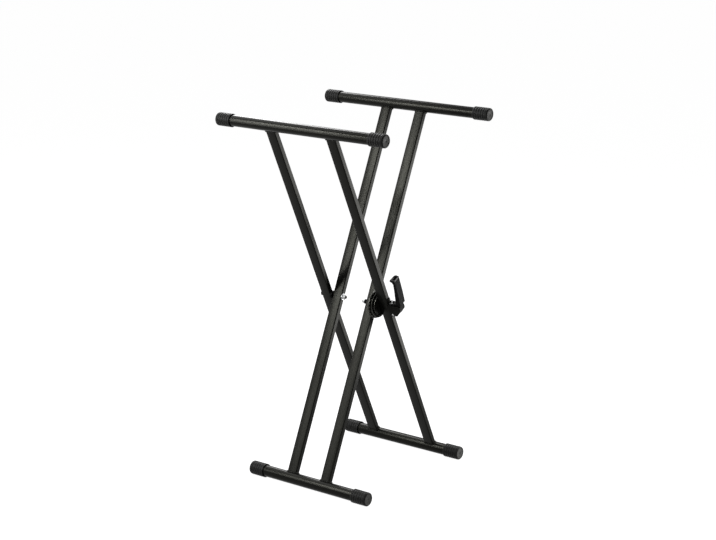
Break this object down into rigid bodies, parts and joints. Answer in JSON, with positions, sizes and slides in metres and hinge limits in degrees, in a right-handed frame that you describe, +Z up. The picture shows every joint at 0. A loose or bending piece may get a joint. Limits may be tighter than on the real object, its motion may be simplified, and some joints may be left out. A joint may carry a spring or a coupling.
{
  "type": "keyboard stand",
  "caption": "Folding X-shaped keyboard stand with doubled rectangular legs, round rails with rubber ends and a toothed clutch worked by a release lever.",
  "frame": {"origin": "on the floor under the middle of the stand, at the centre of its bounding box's base", "axes": "+Z up, Y along the rails with the lever at -Y, X across the stand along a keyboard"},
  "size_m": [0.4948, 0.547, 0.9996],
  "materials": {
    "black_powder_coat": "semi-gloss black powder coat",
    "black_rubber": "matt moulded rubber",
    "black_plastic": "fine-grained moulded nylon",
    "zinc_plated_steel": "zinc plated"
  },
  "bodies": {
    "outer_frame": {"outer_upper_rail": "black_powder_coat", "outer_lower_rail": "black_powder_coat", "outer_leg_far": "black_powder_coat", "outer_leg_near": "black_powder_coat", "clutch_guide_plate": "black_powder_coat", "lever_bracket": "black_powder_coat", "far_pivot_bolt": "black_powder_coat", "outer_upper_cap_far": "black_rubber", "outer_upper_cap_near": "black_rubber", "outer_lower_cap_far": "black_rubber", "outer_lower_cap_near": "black_rubber", "far_pivot_spacer": "black_plastic", "outer_sleeve_far": "zinc_plated_steel", "outer_sleeve_near": "zinc_plated_steel", "far_pivot_nut": "zinc_plated_steel", "far_pivot_washer": "zinc_plated_steel", "clutch_bolt": "zinc_plated_steel", "clutch_nut": "zinc_plated_steel", "return_spring": "zinc_plated_steel", "bracket_screw": "zinc_plated_steel"},
    "inner_frame": {"inner_upper_rail": "black_powder_coat", "inner_lower_rail": "black_powder_coat", "inner_leg_far": "black_powder_coat", "inner_leg_near": "black_powder_coat", "inner_sleeve_far": "zinc_plated_steel", "inner_sleeve_near": "zinc_plated_steel", "fixed_clutch_disc": "black_powder_coat", "clutch_bush": "black_plastic", "inner_upper_cap_far": "black_rubber", "inner_upper_cap_near": "black_rubber", "inner_lower_cap_far": "black_rubber", "inner_lower_cap_near": "black_rubber"},
    "clutch_slider": {"sliding_clutch_disc": "black_powder_coat", "release_pin_upper": "zinc_plated_steel", "release_pin_lower": "zinc_plated_steel", "draw_plate": "zinc_plated_steel"},
    "lever": {"release_lever": "black_plastic", "draw_pin": "zinc_plated_steel", "lever_hinge_pin": "zinc_plated_steel"}
  },
  "joints": [
    {"name": "fold", "type": "hinge", "parent": "outer_frame", "child": "inner_frame", "pos_m": [0, 0, 0.48094], "axis": [0, 1, 0], "range_deg": [-44.8, 75]},
    {"name": "lever_pull", "type": "hinge", "parent": "outer_frame", "child": "lever", "pos_m": [0.00734, -0.1249, 0.46494], "axis": [0.909, 0, 0.4168], "range_deg": [0, 8.5], "stiffness_Nm_per_rad": 0.45, "springref_deg": -14.32},
    {"name": "clutch_slide", "type": "slide", "parent": "outer_frame", "child": "clutch_slider", "axis": [0, -1, 0], "range_m": [0, 0.0027], "deforming": ["return_spring"]}
  ],
  "couplings": [
    {"joint": "clutch_slide", "follows": "lever_pull", "m_per_rad": 0.01739}
  ]
}
